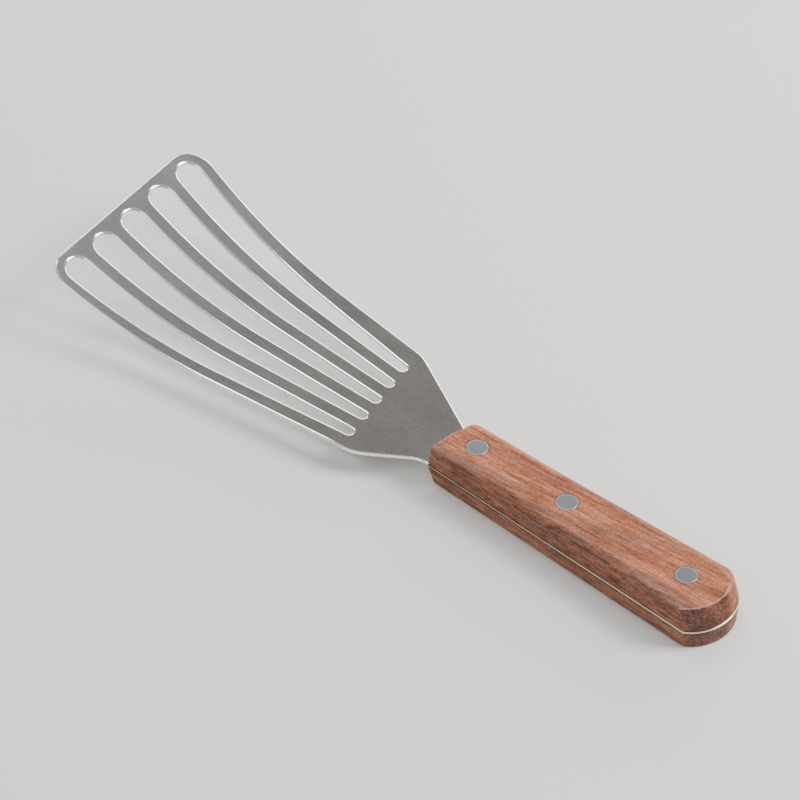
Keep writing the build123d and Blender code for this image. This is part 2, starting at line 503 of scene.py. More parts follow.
def slotPlan(number):
    pitch = slots["tipPitch"] if number > 0 else slots["rightTipPitch"]
    tipX = frontX + blade["length"]
    neck = Vector((
        frontX + slots["neckReach"] - number * slots["neckStagger"] + slots["neckRadius"],
        number * slots["neckPitch"],
    ))
    tip = Vector((
        tipX - blade["slant"] * number * pitch - slots["tipMargin"] - slots["tipRadius"],
        number * pitch,
    ))
    along = tip - neck
    heading = math.atan2(along.y, along.x)
    spread = math.acos((slots["neckRadius"] - slots["tipRadius"]) / along.length)
    ends = (
        (tip, slots["tipRadius"], heading + spread, heading - spread),
        (neck, slots["neckRadius"], heading - spread, heading + spread - 2 * math.pi),
    )
    points = []
    for index, (centre, radius, first, last) in enumerate(ends):
        bends = max(slots["leastBends"], round(abs(last - first) * radius / slots["arcStep"]))
        arc = []
        for bend in range(bends + 1):
            angle = first + (last - first) * bend / bends
            arc.append(centre + radius * Vector((math.cos(angle), math.sin(angle))))
        points += arc
        other, otherRadius, otherFirst, _ = ends[1 - index]
        target = other + otherRadius * Vector((math.cos(otherFirst), math.sin(otherFirst)))
        pieces = round((target - arc[-1]).length / blade["meshStep"])
        points += [arc[-1].lerp(target, piece / pieces) for piece in range(1, pieces)]
    return points


def tangHole(x):
    angles = [-2 * math.pi * side / tang["holeSides"] for side in range(tang["holeSides"])]
    reach = rivets["sleeveRadius"]
    return [Vector((x + reach * math.cos(angle), reach * math.sin(angle))) for angle in angles]


def inwardAims(points):
    # unit vectors that point from each point into the piece
    inward = []
    for index, point in enumerate(points):
        before = (point - points[index - 1]).normalized()
        after = (points[(index + 1) % len(points)] - point).normalized()
        along = (before + after).normalized()
        inward.append(Vector((-along.y, along.x)))
    return inward


def insideLoops(points, loops):
    # which points lie inside the first loop and outside the others
    x, y = points[:, 0], points[:, 1]
    crossings = numpy.zeros(len(points), dtype=int)
    for loop in loops:
        start = numpy.array([tuple(point) for point in loop])
        end = numpy.roll(start, -1, axis=0)
        for (ax, ay), (bx, by) in zip(start, end):
            if ay == by:
                continue
            spans = (ay > y) != (by > y)
            crossings += spans & (x < (bx - ax) * (y - ay) / (by - ay) + ax)
    return crossings % 2 == 1


def fillTriangles(vertices, loops, inner=()):
    # triangles that fill the first loop and leave the others open, all given by numbers of vertices
    source = [vertex for loop in loops for vertex in loop] + list(inner)
    flat = [Vector(vertices[vertex][:2]) * 1000 for vertex in source]
    edges = []
    for loop in loops:
        start = len(edges)
        edges += [(start + index, start + (index + 1) % len(loop)) for index in range(len(loop))]
    cut = delaunay_2d_cdt(flat, edges, [], 0, 1e-6)
    origins = [found[0] for found in cut[3]]
    middles = numpy.array([[tuple(cut[0][corner]) for corner in face] for face in cut[2]]).mean(axis=1)
    outlines = [[Vector(vertices[vertex][:2]) for vertex in loop] for loop in loops]
    kept = insideLoops(middles / 1000, outlines)
    return [tuple(source[origins[corner]] for corner in face) for face, keep in zip(cut[2], kept) if keep]


def grindLine():
    # where the ground bevel starts, a bevel's width inside the leading edge
    tipX = frontX + blade["length"]
    slope = math.asin((blade["length"] - blade["neckRun"] - blade["flatRun"]) / blade["curlRadius"])
    inset = blade["grindWidth"] * math.cos(slope)
    half = planCorners["leftTip"][1]
    count = blade["grindPoints"]
    offsets = [half * (2 * step / count - 1) for step in range(count + 1)]
    return [(tipX - blade["slant"] * y - inset, y) for y in offsets]


def fillPoints(loops):
    # the points inside the flat faces: an even grid, and the line where the ground bevel starts
    step = blade["meshStep"]
    rows = []
    row = 0
    y = cadLow[1]
    while y < cadHigh[1]:
        shift = step / 2 * (row % 2)
        rows += [(x + shift, y) for x in numpy.arange(buttX, cadHigh[0], step)]
        y += step * math.sqrt(3) / 2
        row += 1
    grid = numpy.array(rows)
    rim = numpy.array([tuple(point) for loop in loops for point in loop])
    line = numpy.array(grindLine())
    line = line[insideLoops(line, loops)]
    grid = grid[insideLoops(grid, loops)]
    tipX = frontX + blade["length"]
    onGrind = grid[:, 0] > tipX - blade["slant"] * grid[:, 1] - blade["grindClearance"] * blade["grindWidth"]
    grid = grid[~onGrind]

    def clearOf(points, others, gap):
        kept = []
        for point in points:
            if numpy.min(numpy.hypot(others[:, 0] - point[0], others[:, 1] - point[1])) > gap:
                kept.append(tuple(point))
        return kept

    grid = clearOf(grid, rim, blade["gridClearance"] * step)
    return grid, clearOf(line, rim, blade["lineClearance"] * blade["edgeWide"])


def makeBlank():
    # the flat plate before it is bent: rounded rims round the plan, the slots and the holes
    loops = [outerPlan()]
    loops += [slotPlan(number) for number in range(-slots["eachSide"], slots["eachSide"] + 1)]
    loops += [tangHole(x) for x in rivets["places"]]
    loops[0] = [point + aim * blade["planEase"] for point, aim in zip(loops[0], inwardAims(loops[0]))]
    half = blade["thickness"] / 2
    radius, wide = blade["edgeRound"], blade["edgeWide"]
    levels = [(wide + blade["polishedMargin"], half)]
    for step in range(blade["edgeSteps"] + 1):
        angle = math.pi / 2 * step / blade["edgeSteps"]
        levels.append((wide * (1 - math.sin(angle)), half - radius * (1 - math.cos(angle))))
    levels += [(inset, -height) for inset, height in reversed(levels)]

    vertices, faces, rimShare = [], [], []
    capLoops, below = [], {}
    for loop in loops:
        inward = inwardAims(loop)
        base, count = len(vertices), len(loop)
        for level, (inset, height) in enumerate(levels):
            for point, aim in zip(loop, inward):
                place = point + aim * inset
                vertices.append((place.x, place.y, height))
            rimShare += [min(1.0, 0.5 * min(level, len(levels) - 1 - level))] * count
        for upper in range(base, len(vertices) - count, count):
            for index in range(count):
                after = (index + 1) % count
                lower = upper + count
                faces.append((upper + index, lower + index, lower + after, upper + after))
        capLoops.append(range(base, base + count))
        below.update(zip(capLoops[-1], range(len(vertices) - count, len(vertices))))

    grid, line = fillPoints(loops)
    inner = grid + line
    upperInner = range(len(vertices), len(vertices) + len(inner))
    for side in (half, -half):
        vertices += [(x, y, side) for x, y in inner]
    below.update((vertex, vertex + len(inner)) for vertex in upperInner)
    rimShare += [0.0] * (2 * len(inner))
    for a, b, c in fillTriangles(vertices, capLoops, upperInner):
        faces += [(a, b, c), (below[c], below[b], below[a])]

    mesh = bpy.data.meshes.new("bladeSheet")
    mesh.from_pydata(vertices, [], faces)
    rim = mesh.attributes.new("rim", "FLOAT", "POINT")
    rim.data.foreach_set("value", rimShare)
    onLine = set(upperInner[len(grid):])

    def isSharp(edge):
        first, second = edge.vertices
        apart = abs(mesh.vertices[first].co.y - mesh.vertices[second].co.y)
        return first in onLine and second in onLine and apart < blade["sharpReach"]

    sharp = mesh.attributes.new("sharp_edge", "BOOLEAN", "EDGE")
    sharp.data.foreach_set("value", [isSharp(edge) for edge in mesh.edges])
    mesh.polygons.foreach_set("use_smooth", [True] * len(mesh.polygons))
    print("blade blank:", len(mesh.vertices), "vertices,", len(mesh.polygons), "faces")
    return mesh


def makeFormingTree():
    sizes = ("Bend Start", "Neck Run", "Neck Rise", "Flat Run", "Flat Rise", "Curl Radius", "Softness",
             "Tip", "Slant", "Grind Width", "Grind Depth", "Middle Height")
    tree, size, result = makeGeometryGroup("bendSheet", sizes)
    sums = partial(calculate, tree)
    x, y, height = splitVector(tree, addNode(tree, "GeometryNodeInputPosition").outputs[0])

    # the middle line of the bent sheet: up along the neck, over a knee, along the flat part, up the curl
    knee = sums("ADD", size["Bend Start"], size["Neck Run"])
    reach = sums("SUBTRACT", x, size["Bend Start"])
    neckSlope = sums("DIVIDE", size["Neck Rise"], size["Neck Run"])
    flatSlope = sums("DIVIDE", size["Flat Rise"], size["Flat Run"])
    climb = sums("SMOOTH_MAX", sums("MULTIPLY", reach, neckSlope), 0.0, size["Softness"])
    curlX = sums("ADD", knee, size["Flat Run"])
    onFlat = sums("SUBTRACT", sums("MINIMUM", x, curlX), knee)
    flat = sums("ADD", size["Neck Rise"], sums("MULTIPLY", onFlat, flatSlope))
    line = sums("SMOOTH_MIN", climb, flat, size["Softness"])
    lean = sums("MULTIPLY", size["Curl Radius"], flatSlope)
    beyond = sums("MAXIMUM", sums("SUBTRACT", x, curlX), 0.0)
    run = sums("ADD", beyond, lean)
    squared = sums("POWER", size["Curl Radius"], 2.0)
    lowest = sums("SQRT", sums("SUBTRACT", squared, sums("POWER", lean, 2.0)))
    curl = sums("SUBTRACT", lowest, sums("SQRT", sums("SUBTRACT", squared, sums("POWER", run, 2.0))))
    tilt = sums("DIVIDE", run, size["Curl Radius"])
    level = sums("SQRT", sums("SUBTRACT", 1.0, sums("POWER", tilt, 2.0)))

    # the ground bevel of the leading edge, on the upper face only
    lead = sums("SUBTRACT", sums("SUBTRACT", size["Tip"], sums("MULTIPLY", size["Slant"], y)), x)
    inside = sums("DIVIDE", sums("DIVIDE", lead, level), size["Grind Width"])
    share = sums("SUBTRACT", 1.0, inside, clamp=True)
    upper = sums("GREATER_THAN", height, 0.0)
    grind = sums("MULTIPLY", sums("MULTIPLY", share, size["Grind Depth"]), upper)
    depth = sums("DIVIDE", sums("SUBTRACT", height, grind), level)
    total = sums("ADD", sums("ADD", sums("ADD", line, curl), depth), size["Middle Height"])

    bent = addNode(tree, "ShaderNodeCombineXYZ", {0: x, 1: y, 2: total})
    move = addNode(tree, "GeometryNodeSetPosition", {
        "Geometry": size["Geometry"], "Position": bent.outputs[0],
    })
    finishInSteel(tree, size, result, move.outputs[0])
    return tree


def useTree(holder, tree, values):
    modifier = holder.modifiers.new(tree.name, "NODES")
    modifier.node_group = tree
    for item in tree.interface.items_tree:
        if item.item_type == "SOCKET" and item.in_out == "INPUT" and item.name in values:
            modifier[item.identifier] = values[item.name]


def addPiece(name, mesh):
    piece = bpy.data.objects.new(name, mesh)
    bpy.context.scene.collection.objects.link(piece)
    return piece


def settle(piece):
    # the evaluated shape becomes the piece's own plain mesh
    bpy.context.view_layer.update()
    graph = bpy.context.evaluated_depsgraph_get()
    mesh = bpy.data.meshes.new_from_object(piece.evaluated_get(graph), preserve_all_data_layers=True,
                                           depsgraph=graph)
    piece.modifiers.clear()
    piece.data = mesh


def weighNormals(piece):
    modifier = piece.modifiers.new("evenShading", "WEIGHTED_NORMAL")
    modifier.mode = "FACE_AREA"
    modifier.weight = 50
    modifier.keep_sharp = True


def makeBlade(steel):
    piece = addPiece("blade_sheet", makeBlank())
    useTree(piece, makeFormingTree(), {
        "Bend Start": frontX + blade["bendStart"],
        "Neck Run": blade["neckRun"] - blade["bendStart"],
        "Neck Rise": blade["neckRise"],
        "Flat Run": blade["flatRun"],
        "Flat Rise": blade["flatRise"],
        "Curl Radius": blade["curlRadius"],
        "Softness": blade["bendSoftness"],
        "Tip": frontX + blade["length"],
        "Slant": blade["slant"],
        "Grind Width": blade["grindWidth"],
        "Grind Depth": blade["grindDepth"],
        "Middle Height": tangMiddleZ,
        "Steel": steel,
    })
    weighNormals(piece)
    settle(piece)
    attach(piece, "root")
    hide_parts("blade")
    print("blade formed")


# Handle scales: a leaning wall with an edge that is rounded more or less along its way

def scalePlan(scale, inset, share):
    # the plan at the seat (share 0) or at the outer face (share 1), from the left front corner round
    # past the butt: left side, butt, right side, front
    butt, front = scale["buttLean"] * share, scale["frontLean"] * share

    def corner(x, side):
        return Vector((x, side * (halfWidth(x) - inset)))

    leftFront = corner(frontX - front, 1)
    leftButt = corner(buttX + tang["leftBulge"] + butt, 1)
    rightButt = corner(buttX + tang["rightBulge"] + butt, -1)
    rightFront = corner(frontX - front - scales["frontSkew"], -1)
    return [
        straightSide(leftFront, leftButt),
        arcSide(leftButt, Vector((buttX + butt, 0.0)), rightButt),
        straightSide(rightButt, rightFront),
        straightSide(rightFront, leftFront),
    ]


def alongWay(counts):
    # for each point of the plan: the number of its side, and how far along it is
    places = []
    corner = scales["cornerShare"]
    for index, (pieces, bends) in enumerate(counts):
        places += [index + (1 - corner) * piece / pieces for piece in range(pieces)]
        places += [index + (1 - corner) + corner * bend / bends for bend in range(bends)]
    return places


def edgeRadius(scale, place):
    for (start, low), (end, high) in zip(scale["edge"], scale["edge"][1:]):
        if place <= end:
            share = (place - start) / (end - start)
            return low + (high - low) * share * share * (3 - 2 * share)
    return scale["edge"][-1][1]


def wallFaces(low, high, count):
    # quads between two rings of vertices that start at low and high
    pairs = [(index, (index + 1) % count) for index in range(count)]
    return [(low + index, low + after, high + after, high + index) for index, after in pairs]


def makeScaleMesh(name, scale, seatZ, faceZ):
    seat = scalePlan(scale, 0.0, 0.0)
    face = scalePlan(scale, scales["sideLean"], 1.0)
    counts = planCounts(seat, scale["seatCorners"], scales["step"])
    lower = roundedPlan(seat, scale["seatCorners"], counts)
    upper = roundedPlan(face, scale["faceCorners"], counts)
    inward = inwardAims(lower)
    thickness = abs(faceZ - seatZ)
    way = 1 if faceZ > seatZ else -1
    radii = [edgeRadius(scale, place) for place in alongWay(counts)]
    count = len(lower)
    vertices, wearAndSheen, faces = [], [], []

    def addRing(place, value=lambda index: 0.0):
        for index in range(count):
            point, height = place(index)
            vertices.append((point.x, point.y, seatZ + way * height))
            wearAndSheen.append(value(index))

    def wall(index, height):
        return lower[index].lerp(upper[index], height / thickness)

    ease = scales["seatEase"]
    addRing(lambda i: (wall(i, 0.0) + inward[i] * ease, 0.0))
    for step in range(scales["wallSteps"] + 1):
        share = step / scales["wallSteps"]

        def onWall(i):
            height = ease + (thickness - radii[i] - ease) * share
            return wall(i, height), height

        addRing(onWall)
    for step in range(1, scales["roundSteps"] + 1):
        angle = math.pi / 2 * step / scales["roundSteps"]

        def onRound(i):
            height = thickness - radii[i] * (1 - math.sin(angle))
            return wall(i, height) + inward[i] * radii[i] * (1 - math.cos(angle)), height

        # pale wear and painted highlight along the rounded edge, strongest where the edge is tight
        def wornAndHighlit(i):
            tight = min(1.0, scales["wornAndSheenRadius"] / radii[i]) ** 2
            return math.sin(2 * angle) * tight if step < scales["roundSteps"] else 0.0

        addRing(onRound, wornAndHighlit)
    outer = len(vertices) - count
    for low in range(0, outer, count):
        faces += wallFaces(low, low + count, count)

    # stepped bores: a head's seat at the outer face, and the shank's bore down to the tang
    headRadius = rivets["headRadius"] + scales["boreClearance"]
    boreRadius = rivets["sleeveRadius"] + scales["boreClearance"]
    shelf = thickness - rivets["headThickness"]
    profile = ((boreRadius, 0.0), (boreRadius, shelf), (headRadius, shelf), (headRadius, thickness))
    sides = scales["boreSides"]
    angles = [2 * math.pi * side / sides for side in range(sides)]
    seatLoops, faceLoops = [range(count)], [range(outer, outer + count)]
    for x in rivets["places"]:
        first = len(vertices)
        for radius, height in profile:
            z = seatZ + way * height
            vertices += [(x + radius * math.cos(angle), radius * math.sin(angle), z) for angle in angles]
        last = len(vertices) - sides
        for low in range(first, last, sides):
            faces += wallFaces(low, low + sides, sides)
        seatLoops.append(range(first, first + sides))
        faceLoops.append(range(last, last + sides))
    wearAndSheen += [0.0] * (len(vertices) - len(wearAndSheen))
    faces += fillTriangles(vertices, seatLoops) + fillTriangles(vertices, faceLoops)

    mesh = bpy.data.meshes.new(name)
    mesh.from_pydata(vertices, [], faces)
    wearAndSheenLayer = mesh.attributes.new("wearAndSheen", "FLOAT", "POINT")
    wearAndSheenLayer.data.foreach_set("value", wearAndSheen)
    shape = bmesh.new()
    shape.from_mesh(mesh)
    bmesh.ops.recalc_face_normals(shape, faces=shape.faces)
    for polygon in shape.faces:
        polygon.smooth = True
    shape.to_mesh(mesh)
    shape.free()
    return mesh


def makeScale(name, nodeName, scale, seatZ, faceZ, wood):
    piece = addPiece(name, makeScaleMesh(name, scale, seatZ, faceZ))
    piece.data.materials.append(wood)
    hard = piece.modifiers.new("hardBores", "EDGE_SPLIT")
    hard.split_angle = math.radians(scales["splitAngle"])
    weighNormals(piece)
    settle(piece)
    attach(piece, "root")
    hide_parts(nodeName)
    print(name, "made,", len(piece.data.polygons), "faces")


# Rivets

def makeRivetTree():
    sizes = ("Head Radius", "Head Thickness", "Shank Radius", "Shank Length", "Face Height", "Side")
    tree, size, result = makeGeometryGroup("flushRivets", sizes)
    sums = partial(calculate, tree)
    pieces = addNode(tree, "GeometryNodeJoinGeometry")
    middles = {
        "Head": sums("DIVIDE", size["Head Thickness"], 2.0),
        "Shank": sums("ADD", size["Head Thickness"], sums("DIVIDE", size["Shank Length"], 2.0)),
    }
    for name, depth in (("Head", "Head Thickness"), ("Shank", "Shank Length")):
        cylinder = addNode(tree, "GeometryNodeMeshCylinder", {
            "Vertices": rivets["sides"], "Radius": size[f"{name} Radius"], "Depth": size[depth],
        })
        drop = sums("MULTIPLY", middles[name], size["Side"])
        shift = addNode(tree, "ShaderNodeCombineXYZ", {2: sums("SUBTRACT", size["Face Height"], drop)})
        move = addNode(tree, "GeometryNodeTransform", {
            "Geometry": cylinder.outputs["Mesh"], "Translation": shift.outputs[0],
        })
        feed(tree, move.outputs[0], pieces.inputs[0])
    copies = addNode(tree, "GeometryNodeInstanceOnPoints", {
        "Points": size["Geometry"], "Instance": pieces.outputs[0],
    })
    real = addNode(tree, "GeometryNodeRealizeInstances", {0: copies.outputs[0]})
    finishInSteel(tree, size, result, real.outputs[0])
    return tree


def makeRivets(name, tree, steel, half, side, faceHeight, shankRadius, shankLength):
    mesh = bpy.data.meshes.new(name)
    mesh.from_pydata([(x, 0.0, 0.0) for x in rivets["places"]], [], [])
    piece = addPiece(name, mesh)
    useTree(piece, tree, {
        "Head Radius": rivets["headRadius"],
        "Head Thickness": rivets["headThickness"],
        "Shank Radius": shankRadius,
        "Shank Length": shankLength,
        "Face Height": faceHeight,
        "Side": side,
        "Steel": steel,
    })
    ease = piece.modifiers.new("easedEdges", "BEVEL")
    ease.width = rivets["edgeRound"]
    ease.segments = rivets["edgeSegments"]
    ease.limit_method = "ANGLE"
    ease.angle_limit = math.radians(rivets["edgeAngle"])
    settle(piece)
    for polygon in piece.data.polygons:
        polygon.use_smooth = True
    weighNormals(piece)
    settle(piece)
    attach(piece, "root")
    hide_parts(*[f"{place}_rivet_{half}" for place in ("front", "middle", "rear")])


# Shared shader groups

def makeWearAndSheenGroup():
    # a mask that follows an edge and breaks up along it
    inputs = {"Vector": "Vector", "Edge": 0.0, "Amount": 1.0, "Break Up": 0.5}
    tree, given, result = makeGroup("edgeWearAndSheen", "ShaderNodeTree", inputs, {"Mask": 0.0})
    sums = partial(calculate, tree)
    patches = stretchedNoise(tree, given["Vector"], (420.0, 420.0, 420.0), 3.0)
    kept = sums("MULTIPLY", band(tree, patches, 0.36, 0.62), given["Break Up"])
    kept = sums("ADD", kept, sums("SUBTRACT", 1.0, given["Break Up"]))
    mask = sums("MULTIPLY", sums("MULTIPLY", given["Edge"], kept), given["Amount"], clamp=True)
    feed(tree, mask, result["Mask"])
    return tree


def makeRivetGroup():
    # how far a spot is from the axis of the nearest rivet
    outputs = {"Distance": 0.0}
    tree, given, result = makeGroup("rivetDistance", "ShaderNodeTree", {"Vector": "Vector"}, outputs)
    nearest = 1.0
    for x in rivets["places"]:
        flat = calculateVector(tree, "MULTIPLY_ADD", given["Vector"], (1.0, 1.0, 0.0), (-x, 0.0, 0.0))
        far = calculateVector(tree, "LENGTH", flat, output="Value")
        nearest = calculate(tree, "MINIMUM", far, nearest)
    feed(tree, nearest, result["Distance"])
    return tree


def edgeMask(tree, wearAndSheenGroup, place, attribute, amount, breakUp):
    edge = addNode(tree, "ShaderNodeAttribute", attribute_name=attribute).outputs["Fac"]
    inputs = {"Vector": place, "Edge": edge, "Amount": amount, "Break Up": breakUp}
    return addNode(tree, "ShaderNodeGroup", inputs, node_tree=wearAndSheenGroup).outputs["Mask"]


def rivetRing(tree, rivetGroup, place, near, far, start, end):
    # near and far are counted outwards from the rim of a head
    around = addNode(tree, "ShaderNodeGroup", {"Vector": place}, node_tree=rivetGroup)
    rim = rivets["headRadius"]
    return band(tree, around.outputs["Distance"], rim + near, rim + far, start, end)


# Steel

def makeBrushGroup():
    # fine scratches that run one way, a grain like sand, and slow changes of tone
    noises = {
        # name: (stretch, detail, roughness)
        "Marks": ((70.0, 2400.0, 2400.0), 4.0, 0.6),
        "Grain": ((1500.0, 2400.0, 2400.0), 3.0, 0.7),
        "Drift": ((26.0, 42.0, 42.0), 3.0, 0.6),
    }
    outputs = dict.fromkeys(noises, 0.0)
    tree, given, result = makeGroup("brushMarks", "ShaderNodeTree", {"Vector": "Vector"}, outputs)
    for name, settings in noises.items():
        feed(tree, stretchedNoise(tree, given["Vector"], *settings), result[name])
    return tree


def makeSteel(name, groups):
    look = steelLooks[name]
    material, tree, shader, place = startMaterial(name)
    sums = partial(calculate, tree)
    shader.inputs["Metallic"].default_value = 1.0
    x, _, z = splitVector(tree, place)
    brush = addNode(tree, "ShaderNodeGroup", {"Vector": place}, node_tree=groups["brush"]).outputs

    # painted reflection: warmer and darker by the handle, cooler and lighter at the tip, with slow drifts and
    # fine marks over it
    colour = blend(tree, band(tree, x, frontX, frontX + blade["length"]), look["warm"], look["cool"])
    tone = band(tree, brush["Drift"], 0.3, 0.7, 1 - look["driftShare"], 1 + look["driftShare"])
    marks = band(tree, brush["Marks"], 0.25, 0.75, 1 - look["markShare"], 1 + look["markShare"])
    grain = band(tree, brush["Grain"], 0.25, 0.75, 1 - look["grainShare"], 1 + look["grainShare"])
    tone = sums("MULTIPLY", sums("MULTIPLY", tone, marks), grain)
    colour = blend(tree, 1.0, colour, grey(tree, tone), "MULTIPLY")

    # the rounded rims are smoother, and their brighter colour is partly polish and partly a painted
    # highlight; along the handle the tang's edge gets a cream painted reflection, with painted shade at its
    # top and bottom
    rim = edgeMask(tree, groups["wearAndSheen"], place, "rim", amount=1.0, breakUp=look["rimBreak"])
    inHandle = band(tree, x, frontX + tang["stripFade"], frontX - tang["stripFade"])
    fromMiddle = sums("ABSOLUTE", sums("SUBTRACT", z, tangMiddleZ))
    fromMiddle = sums("MULTIPLY", fromMiddle, band(tree, x, *tang["stripRun"], 1.0, look["stripNarrowing"]))
    edgeTone = band(tree, fromMiddle, look["stripHalf"], look["stripHalf"] + tang["stripSoftness"])
    # cream painted reflection on the tang's edge, turning to painted shade towards the joints with the scales
    paintedStripLight = blend(tree, edgeTone, look["paintedStripLight"], look["paintedStripEdge"])
    # a paler band round the outer part of each rivet head: painted highlight
    ring = rivetRing(tree, groups["rivets"], place, -0.0006, -0.0001, 0.0, look["ringHighlightShare"])
    mask = sums("MAXIMUM", rim, ring)
    colour = blend(tree, mask, colour, blend(tree, inHandle, look["rim"], paintedStripLight))
    feed(tree, colour, shader.inputs["Base Color"])

    rough = band(tree, brush["Marks"], 0.2, 0.8, look["roughness"] - look["roughSpread"],
                 look["roughness"] + look["roughSpread"])
    away = sums("MULTIPLY", mask, look["roughness"] - look["rimRoughness"])
    away = sums("SUBTRACT", away, sums("MULTIPLY", inHandle, look["stripRoughening"]))
    feed(tree, sums("SUBTRACT", rough, away), shader.inputs["Roughness"])
    addBump(tree, shader, sums("ADD", brush["Marks"], brush["Grain"]), look["bump"], distance=0.00001)
    return material


# Wood

def makeGrainGroup():
    colours = dict.fromkeys(("Light", "Dark", "Deep", "Pore"), "Color")
    inputs = {"Vector": "Vector", "Figure And Side Shade": 0.0, "Pore Amount": 0.6, **colours}
    tree, given, result = makeGroup("woodGrain", "ShaderNodeTree", inputs, {"Colour": "Color", "Height": 0.0})
    sums = partial(calculate, tree)

    # the grain wanders a little on its way along the handle
    wander = stretchedNoise(tree, given["Vector"], (22.0, 60.0, 60.0), 2.0, output="Color")
    centred = calculateVector(tree, "SUBTRACT", wander, (0.5, 0.5, 0.5))
    shift = calculateVector(tree, "MULTIPLY", centred, (0.0, 0.0035, 0.0035))
    vector = calculateVector(tree, "ADD", given["Vector"], shift)

    rings = band(tree, stretchedNoise(tree, vector, (10.0, 260.0, 260.0), 3.0), 0.38, 0.62)
    clouds = band(tree, stretchedNoise(tree, vector, (34.0, 130.0, 130.0), 3.0), 0.34, 0.70)
    fibres = stretchedNoise(tree, vector, (75.0, 950.0, 950.0), 5.0, 0.72)
    dashes = band(tree, stretchedNoise(tree, vector, (75.0, 1500.0, 1500.0), 2.0, 0.5), 0.52, 0.64)
    groups = band(tree, stretchedNoise(tree, vector, (45.0, 260.0, 260.0), 2.0), 0.30, 0.56)
    speckle = stretchedNoise(tree, given["Vector"], (1100.0, 1300.0, 1300.0), 2.0, 0.75)

    mixed = sums("ADD", sums("MULTIPLY", rings, 0.55), sums("MULTIPLY", clouds, 0.45))
    colour = blend(tree, mixed, given["Light"], given["Dark"])
    # towards the deep colour: the wood's dark figure, and painted shade on the near side
    colour = blend(tree, given["Figure And Side Shade"], colour, given["Deep"])
    tone = sums("MULTIPLY", band(tree, fibres, 0.30, 0.70, 0.58, 1.34),
                band(tree, speckle, 0.30, 0.70, 0.70, 1.26))
    colour = blend(tree, 1.0, colour, grey(tree, tone), "MULTIPLY")
    pores = sums("MULTIPLY", sums("MULTIPLY", dashes, groups), given["Pore Amount"], clamp=True)
    feed(tree, blend(tree, pores, colour, given["Pore"]), result["Colour"])
    feed(tree, sums("SUBTRACT", fibres, sums("MULTIPLY", pores, 0.7)), result["Height"])
    return tree


def figureMask(tree, vector, figures):
    # soft dark streaks at chosen places of the top face
    total = 0.0
    for middle, length, width, angle, strength in figures:
        local = addNode(tree, "ShaderNodeMapping", {
            "Vector": vector,
            "Location": (*middle, handleTopZ),
            "Rotation": (0.0, 0.0, math.radians(angle)),
            "Scale": (length / 2, width / 2, woodBands["figureDepth"]),
        }, vector_type="TEXTURE")
        far = calculateVector(tree, "LENGTH", local.outputs[0], output="Value")
        total = calculate(tree, "ADD", band(tree, far, 0.25, 1.0, strength, 0.0), total)
    return total


def makeWood(name, groups):
    look = woodLooks[name]
    material, tree, shader, place = startMaterial(name)
    sums = partial(calculate, tree)
    _, y, z = splitVector(tree, place)
    turned = addNode(tree, "ShaderNodeMapping", {
        "Vector": place,
        "Location": look["shift"],
        "Rotation": (0.0, 0.0, math.radians(-look["grainAngle"])),
    }).outputs[0]

    # the streaks have ragged ends
    ragged = stretchedNoise(tree, turned, (60.0, 500.0, 500.0), 4.0, 0.65, output="Color")
    loose = calculateVector(tree, "MULTIPLY_ADD", ragged, (0.020, 0.0070, 0.0), (-0.010, -0.0035, 0.0))
    figureAndSideShade = figureMask(tree, calculateVector(tree, "ADD", place, loose), look["figures"])
    # the near side is darker: painted shade towards the deep colour, with more pores
    nearSide = band(tree, y, look["sideStart"], look["sideStart"] + woodBands["sideRun"])
    figureAndSideShade = sums("ADD", figureAndSideShade, sums("MULTIPLY", nearSide, look["sideShade"]), clamp=True)
    grain = addNode(tree, "ShaderNodeGroup", {
        "Vector": turned,
        "Figure And Side Shade": figureAndSideShade,
        "Pore Amount": sums("ADD", sums("MULTIPLY", nearSide, look["sidePores"]), look["pores"]),
        **{socket: (*look[socket.lower()], 1.0) for socket in ("Light", "Dark", "Deep", "Pore")},
    }, node_tree=groups["grain"])
    colour, height = grain.outputs["Colour"], grain.outputs["Height"]

    # end faces on the butt and the front: painted shade, deeper towards the left corner, with a little
    # painted light on the right
    facing = splitVector(tree, addNode(tree, "ShaderNodeNewGeometry").outputs["Normal"])
    onEnd = band(tree, sums("ABSOLUTE", facing[0]), 0.45, 0.8)
    endPaintedShading = blend(tree, band(tree, y, *woodBands["acrossEnd"]), look["endRightPaintedLight"], look["endLeftPaintedShade"])
    colour = blend(tree, onEnd, colour, blend(tree, 1.0, colour, endPaintedShading, "MULTIPLY"))

    # painted shade in the joint along the tang, and a darker ring round the rivets, both in the pore colour
    fromSeat = sums("ABSOLUTE", sums("SUBTRACT", z, look["seatZ"]))
    joint = band(tree, fromSeat, *woodBands["joint"], look["jointShade"], 0.0)
    ring = rivetRing(tree, groups["rivets"], place, 0.0001, 0.0006, 0.75, 0.0)
    colour = blend(tree, sums("MAXIMUM", joint, ring), colour, look["pore"])

    # pale edges: partly wear, partly a painted highlight of the rounded edges
    wornAndHighlit = edgeMask(tree, groups["wearAndSheen"], place, "wearAndSheen", look["wearAndSheenAmount"], breakUp=0.45)
    feed(tree, blend(tree, wornAndHighlit, colour, look["wornAndHighlit"]), shader.inputs["Base Color"])

    rough = band(tree, height, 0.1, 0.8, look["roughness"] + 0.08, look["roughness"] - 0.05)
    feed(tree, rough, shader.inputs["Roughness"])
    shader.inputs["Specular IOR Level"].default_value = 0.10
    addBump(tree, shader, height, look["bump"], distance=0.00012)
    return material


